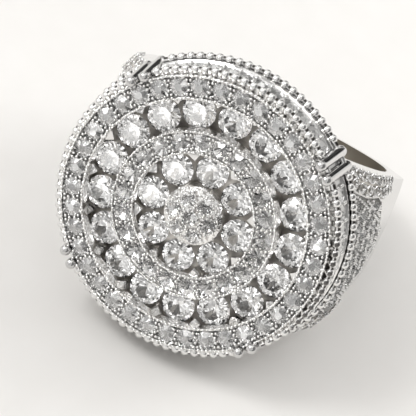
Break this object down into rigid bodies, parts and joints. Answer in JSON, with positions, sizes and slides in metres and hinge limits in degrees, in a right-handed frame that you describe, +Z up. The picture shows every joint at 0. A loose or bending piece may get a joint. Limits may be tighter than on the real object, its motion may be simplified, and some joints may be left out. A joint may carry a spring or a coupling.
{
  "type": "halo ring",
  "caption": "Wide finger ring with flared stone-set shoulders and a round stepped head: two channels of large round stones between small-stone rims and a domed centre cluster.",
  "frame": {"origin": "centre of the finger hole, where its axis crosses the ring's plane of symmetry", "axes": "+Z up with the ring lying on its side; the head faces -Y and leans up; +X along the shoulders. The finger's axis lies in the YZ plane, 66.3 degrees above +Y"},
  "size_m": [0.024, 0.0277, 0.0218],
  "materials": {
    "polished_metal": "high-polish rhodium-plated silver",
    "large_stones": "clear full-cut stones",
    "small_stones": "clear small stones"
  },
  "bodies": {
    "root": {"shank": "polished_metal", "setting": "polished_metal", "outer_stone_01": "large_stones", "outer_stone_02": "large_stones", "outer_stone_03": "large_stones", "outer_stone_04": "large_stones", "outer_stone_05": "large_stones", "outer_stone_06": "large_stones", "outer_stone_07": "large_stones", "outer_stone_08": "large_stones", "outer_stone_09": "large_stones", "outer_stone_10": "large_stones", "outer_stone_11": "large_stones", "outer_stone_12": "large_stones", "outer_stone_13": "large_stones", "outer_stone_14": "large_stones", "outer_stone_15": "large_stones", "outer_stone_16": "large_stones", "outer_stone_17": "large_stones", "inner_stone_1": "large_stones", "inner_stone_2": "large_stones", "inner_stone_3": "large_stones", "inner_stone_4": "large_stones", "inner_stone_5": "large_stones", "inner_stone_6": "large_stones", "inner_stone_7": "large_stones", "inner_stone_8": "large_stones", "rim_pave": "small_stones", "halo_pave": "small_stones", "centre_cluster": "small_stones", "shoulder_pave_right": "small_stones", "shoulder_pave_left": "small_stones"}
  },
  "joints": []
}
